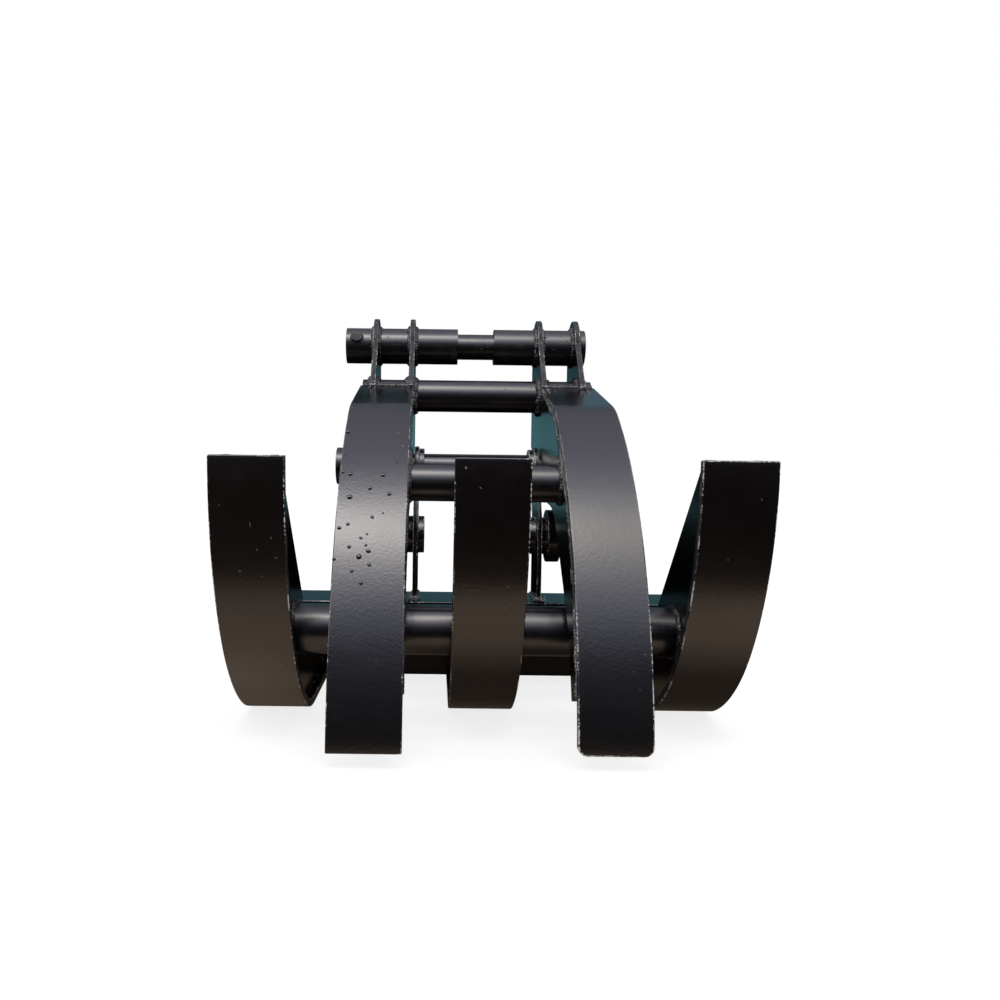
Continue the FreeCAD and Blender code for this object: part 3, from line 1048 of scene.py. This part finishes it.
def drop_model():
    """A flattened dome with a flat underside, one unit wide."""
    piece = new_piece(bpy.ops.mesh.primitive_ico_sphere_add, subdivisions=3, radius=0.5)
    pick(piece, "vertices", lambda vertex: vertex.co.z < 0)
    bpy.ops.transform.resize(value=(1.0, 1.0, 0.05), center_override=(0.0, 0.0, 0.0))
    pick(piece, "vertices", lambda vertex: vertex.co.z > 0)
    bpy.ops.transform.resize(value=(1.0, 1.0, 0.78), center_override=(0.0, 0.0, 0.0))
    pick(piece, "vertices", lambda vertex: vertex.co.y > 0.2)
    bpy.ops.transform.translate(value=(0.05, 0.12, 0.0))
    leave_edit()
    bpy.ops.object.shade_smooth()
    return piece


def lay_on(model, node, x, y, size, turn):
    """A copy of a model, sized in millimetres, laid on a node where a pixel shows it."""
    point, normal = on_surface(x, y, node)
    place = Matrix.Translation(point) @ normal.to_track_quat("Z", "Y").to_matrix().to_4x4()
    scale = Matrix.Diagonal((*(side / 1000 for side in size), 1.0))
    return copy_at(model, place @ Matrix.Rotation(turn, 4, "Z") @ scale)


class GRAPPLE_OT_rain_drops(bpy.types.Operator):
    """Rain drops on the upper tines, the link pin and its sleeves, and the back tube"""
    bl_idname = "grapple.rain_drops"
    bl_label = "Rain drops"

    def execute(self, context):
        model = drop_model()
        turn_between = 2.4
        for node, places in DROPS.items():
            drops = []
            for count, (x, y, width) in enumerate(places):
                size = (width, width * (0.8 + 0.1 * (count % 4)), width)
                drops.append(lay_on(model, node, x, y, size, turn_between * count))
            settle(joined(drops), node + "_drops", UPPER, "black_paint", "rain_drop")
        bpy.data.objects.remove(model)
        return {"FINISHED"}


class GRAPPLE_OT_nicks(bpy.types.Operator):
    """Small nicks and scratches in the paint of the tines"""
    bl_idname = "grapple.nicks"
    bl_label = "Paint nicks"

    def execute(self, context):
        model = drop_model()
        for node, places in NICKS.items():
            nicks = []
            for x, y, length, width, lean in places:
                size = (width * NICK_WIDTH, length * NICK_LENGTH, NICK_HEIGHT)
                nicks.append(lay_on(model, node, x, y, size, math.radians(lean)))
            body = LOWER if node in LOWER_FACES else UPPER
            settle(joined(nicks), node + "_nicks", body, "black_paint", "paint_nick")
        bpy.data.objects.remove(model)
        return {"FINISHED"}


# Stage

# Floor, gradient tent with a soft box at each end, and ground card: lengths in metres,
# and for the boxes also the degrees up from the rear horizon that they fill
FLOOR_SIZE = 60.0
FLOOR_GLOW = 1.15
FLOOR_WHITENESS = 0.7
TENT_RADIUS = 4.0
TENT_LENGTH = 16.0
TENT_Y = -0.2
TENT_SPLIT_X = 0.25
TENT_BLEND = 1.1
END_BOX_X = 2.4
END_BOX_BLEND = 0.8
END_BOX_FROM = 14.0
END_BOX_TO = 52.0
END_BOX_LEVEL = 2.4
END_BOX_TINT = (0.96, 0.98, 1.0)
GROUND_SIZE = 12.0
GROUND_LIFT = 0.0001
GROUND_SPLIT_X = -0.12
GROUND_BLEND = 0.2


def seen_directly(nodes):
    """1 for the rays of the camera, of mirrors and of glass, and 0 for all others."""
    camera = nodes.add("ShaderNodeLightPath", output="Is Camera Ray")
    mirrored = nodes.add("ShaderNodeLightPath", output="Is Glossy Ray")
    through = nodes.add("ShaderNodeLightPath", output="Is Transmission Ray")
    return (camera + mirrored + through).math("MINIMUM", 1.0)


def make_floor():
    floor = new_piece(
        bpy.ops.mesh.primitive_plane_add, size=FLOOR_SIZE, location=(0.0, 0.0, cad_box[0].z))
    floor.name = "studio_floor"
    material, nodes = new_material("pale_floor")
    matt = nodes.add("ShaderNodeBsdfDiffuse", None, {"Color": grey(0.8)})
    white = nodes.add("ShaderNodeEmission", None, {"Color": grey(1.0), "Strength": FLOOR_GLOW})
    share = seen_directly(nodes) * FLOOR_WHITENESS
    surface = nodes.add("ShaderNodeMixShader", None, {0: share, 1: matt, 2: white})
    nodes.add("ShaderNodeOutputMaterial", None, {"Surface": surface})
    floor.data.materials.append(material)


def make_world():
    world = bpy.data.worlds.new("studio")
    bpy.context.scene.world = world
    world.use_nodes = True
    nodes = Nodes(world.node_tree)
    surface = nodes.add("ShaderNodeBackground", None, {"Color": grey(1.0), "Strength": 1.0})
    nodes.add("ShaderNodeOutputWorld", None, {"Surface": surface})


# What the gloss of the paint mirrors, by degrees up from the rear horizon, over the
# top to the camera's side and down to the ground: the level in front of the left
# tine, the level in front of the right one, and the tint
TENT_PEAK = 14.0
TENT_STOPS = (
    (0.0, 0.28, 0.28, (0.33, 0.88, 1.0)),
    (3.0, 0.26, 0.26, (0.33, 0.88, 1.0)),
    (7.0, 0.09, 0.09, (0.35, 0.85, 1.0)),
    (14.0, 0.12, 0.12, (0.40, 0.85, 1.0)),
    (22.0, 0.33, 0.30, (0.45, 0.85, 1.05)),
    (40.0, 0.34, 0.32, (0.75, 0.85, 1.05)),
    (56.0, 0.62, 0.62, (0.98, 0.93, 1.12)),
    (73.0, 1.12, 1.10, (0.98, 0.94, 1.18)),
    (88.0, 1.70, 1.75, (0.97, 0.95, 1.20)),
    (99.0, 3.30, 2.80, (0.99, 0.98, 1.08)),
    (106.0, 7.20, 4.20, (1.0, 0.98, 1.0)),
    (113.0, 13.20, 5.40, (1.03, 0.97, 0.95)),
    (120.0, 13.20, 5.60, (1.03, 0.97, 0.95)),
    (128.0, 7.00, 4.20, (1.01, 0.98, 0.98)),
    (136.0, 3.90, 2.90, (0.97, 0.96, 1.08)),
    (146.0, 1.70, 1.75, (0.95, 0.96, 1.20)),
    (154.0, 1.05, 1.10, (0.96, 0.97, 1.22)),
    (160.0, 0.42, 0.42, (0.94, 1.0, 1.25)),
    (168.0, 0.24, 0.18, (0.94, 1.0, 1.25)),
    (180.0, 0.13, 0.10, (0.96, 0.96, 1.2)),
    (186.0, 0.05, 0.05, (1.0, 0.9, 1.0)),
    (350.0, 0.05, 0.05, (1.0, 0.9, 1.0)),
    (356.0, 0.28, 0.28, (0.33, 0.88, 1.0)),
)

# The ground that the undersides mirror, as levels by metres in front of the stick pin,
# to the left and to the right of the split. The low levels right under the grapple are its painted
# shadow
GROUND_TINT = (0.96, 0.72, 0.54)
GROUND_PEAK = 1.1
GROUND_FROM = -0.1
GROUND_TO = 1.0
GROUND_LEFT = (
    (-0.1, 0.0), (-0.02, 0.02), (0.04, 0.12), (0.15, 0.12), (0.19, 0.42), (0.22, 0.80),
    (0.25, 1.0), (0.32, 0.98), (0.37, 0.85), (0.41, 0.42), (0.45, 0.14), (0.55, 0.09),
    (0.70, 0.07), (1.0, 0.05),
)
GROUND_RIGHT = (
    (-0.1, 0.0), (-0.02, 0.02), (0.04, 0.12), (0.18, 0.07), (0.23, 0.15), (0.26, 0.42),
    (0.295, 0.90), (0.34, 1.08), (0.38, 0.90), (0.415, 0.30), (0.45, 0.12), (0.55, 0.05),
    (0.70, 0.02), (1.0, 0.01),
)


def gloss_only(card):
    """Lets only mirrored rays see a card, so that it stays out of the picture itself."""
    card.visible_camera = False
    card.visible_diffuse = False
    card.visible_transmission = False
    card.visible_shadow = False


def glow(nodes, colour, strength):
    light = nodes.add("ShaderNodeEmission", None, {"Color": colour, "Strength": strength})
    nodes.add("ShaderNodeOutputMaterial", None, {"Surface": light})


def make_tent():
    """A long gradient tent round the X axis that gives the paint its bands of light."""
    tent = new_piece(
        bpy.ops.mesh.primitive_cylinder_add, vertices=180, radius=TENT_RADIUS,
        depth=TENT_LENGTH, location=(0.0, TENT_Y, 0.0), rotation=(0.0, math.pi / 2, 0.0))
    tent.name = "gradient_tent"
    place_in_mesh(tent)
    bpy.ops.object.shade_smooth()
    material, nodes = new_material("tent_gradient")
    place = nodes.coordinates()
    back = nodes.axis(place, "Y") - TENT_Y
    turn = (nodes.axis(place, "Z").math("ARCTAN2", back) / (2 * math.pi)).math("FRACT")
    left = [(angle / 360, grey(level / TENT_PEAK, tint)) for angle, level, _, tint in TENT_STOPS]
    right = [(angle / 360, grey(level / TENT_PEAK, tint)) for angle, _, level, tint in TENT_STOPS]
    rightward = nodes.axis(place, "X").above(TENT_SPLIT_X, TENT_BLEND)
    colour = nodes.mix(rightward, nodes.ramp(turn, left), nodes.ramp(turn, right))
    at_ends = nodes.axis(place, "X").math("ABSOLUTE").above(END_BOX_X, END_BOX_BLEND)
    above_low = turn.above(END_BOX_FROM / 360, 8 / 360)
    above_high = turn.above(END_BOX_TO / 360, 12 / 360)
    box = grey(END_BOX_LEVEL / TENT_PEAK, END_BOX_TINT)
    colour = nodes.mix(at_ends * (above_low * (1.0 - above_high)), colour, box)
    glow(nodes, colour, TENT_PEAK)
    tent.data.materials.append(material)
    gloss_only(tent)


def make_ground_card():
    """The ground that the undersides mirror: a painted shadow right under the grapple, then warm
    lit ground, and dark further out.
    """
    card = new_piece(
        bpy.ops.mesh.primitive_plane_add, size=GROUND_SIZE,
        location=(0.0, 0.0, cad_box[0].z + GROUND_LIFT))
    card.name = "ground_card"
    place_in_mesh(card)
    material, nodes = new_material("warm_ground")
    place = nodes.coordinates()
    reach = GROUND_TO - GROUND_FROM
    ahead = (nodes.axis(place, "Y") * -1.0 - GROUND_FROM) / reach
    left, right = (
        [((y - GROUND_FROM) / reach, grey(level / GROUND_PEAK, GROUND_TINT)) for y, level in stops]
        for stops in (GROUND_LEFT, GROUND_RIGHT))
    rightward = nodes.axis(place, "X").above(GROUND_SPLIT_X, GROUND_BLEND)
    colour = nodes.mix(rightward, nodes.ramp(ahead, left), nodes.ramp(ahead, right))
    glow(nodes, colour, GROUND_PEAK)
    card.data.materials.append(material)
    gloss_only(card)


def make_key_light():
    """A wide soft lamp over the front of the grapple, which no mirrored ray sees."""
    light = bpy.data.lights.new("key_softbox", "AREA")
    light.shape = "RECTANGLE"
    light.size, light.size_y = 1.6, 0.35
    light.energy = 14.0
    lamp = linked("key_softbox", light)
    lamp.location = (0.0, -1.0, 1.75)
    towards = Vector((0.0, -0.2, -0.1)) - lamp.location
    lamp.rotation_euler = towards.to_track_quat("-Z", "Y").to_euler()
    lamp.visible_glossy = False


def make_camera():
    data = bpy.data.cameras.new("photo_camera")
    camera = linked("photo_camera", data)
    data.sensor_width = VIEW_SENSOR
    data.lens = VIEW_LENS
    data.shift_x = VIEW_SHIFT
    camera.location = VIEW_FROM
    camera.rotation_euler = VIEW_TURN
    bpy.context.scene.camera = camera


class GRAPPLE_OT_stage(bpy.types.Operator):
    """Builds the floor, the world, the mirrored tent and ground, the lamp and the camera"""
    bl_idname = "grapple.stage"
    bl_label = "Studio"

    def execute(self, context):
        context.scene.view_settings.view_transform = "Standard"
        make_floor()
        make_world()
        make_tent()
        make_ground_card()
        make_key_light()
        make_camera()
        return {"FINISHED"}


class GRAPPLE_OT_carried_over(bpy.types.Operator):
    """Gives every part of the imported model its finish"""
    bl_idname = "grapple.carried_over"
    bl_label = "Carried-over parts"

    def execute(self, context):
        lower = set(frame["record"]["behaviour"]["bodies"][LOWER])
        for name, node in frame["nodes"].items():
            use_finish(node, "lower_paint" if name in lower else "upper_paint")
        return {"FINISHED"}


OPERATORS = (
    GRAPPLE_OT_stage, GRAPPLE_OT_carried_over, GRAPPLE_OT_tine_faces, GRAPPLE_OT_side_plates,
    GRAPPLE_OT_tubes, GRAPPLE_OT_pins, GRAPPLE_OT_lock_bolts, GRAPPLE_OT_ring_welds,
    GRAPPLE_OT_seam_welds, GRAPPLE_OT_foot_welds, GRAPPLE_OT_rain_drops, GRAPPLE_OT_nicks,
)


class GRAPPLE_PT_panel(bpy.types.Panel):
    """Lists the steps that dress the grapple"""
    bl_idname = "GRAPPLE_PT_panel"
    bl_label = "Log grapple"
    bl_space_type = "VIEW_3D"
    bl_region_type = "UI"
    bl_category = "Grapple"

    def draw(self, context):
        column = self.layout.column()
        for group in (context.scene.grapple_sizes, context.scene.grapple_colours):
            for name in group.__annotations__:
                column.prop(group, name)
        for operator in OPERATORS:
            column.operator(operator.bl_idname)


CLASSES = (GrappleSizes, GrappleColours) + OPERATORS + (GRAPPLE_PT_panel,)


def register():
    for kind in CLASSES:
        bpy.utils.register_class(kind)
    bpy.types.Scene.grapple_sizes = bpy.props.PointerProperty(type=GrappleSizes)
    bpy.types.Scene.grapple_colours = bpy.props.PointerProperty(type=GrappleColours)


def unregister():
    del bpy.types.Scene.grapple_colours
    del bpy.types.Scene.grapple_sizes
    for kind in reversed(CLASSES):
        bpy.utils.unregister_class(kind)


def main():
    register()
    bpy.ops.grapple.stage()
    bpy.ops.grapple.carried_over()
    bpy.ops.grapple.tine_faces()
    bpy.ops.grapple.side_plates()
    bpy.ops.grapple.tubes()
    bpy.ops.grapple.pins()
    bpy.ops.grapple.lock_bolts()
    bpy.ops.grapple.ring_welds()
    bpy.ops.grapple.seam_welds()
    bpy.ops.grapple.foot_welds()
    bpy.ops.grapple.rain_drops()
    bpy.ops.grapple.nicks()


if __name__ == "__main__":
    main()
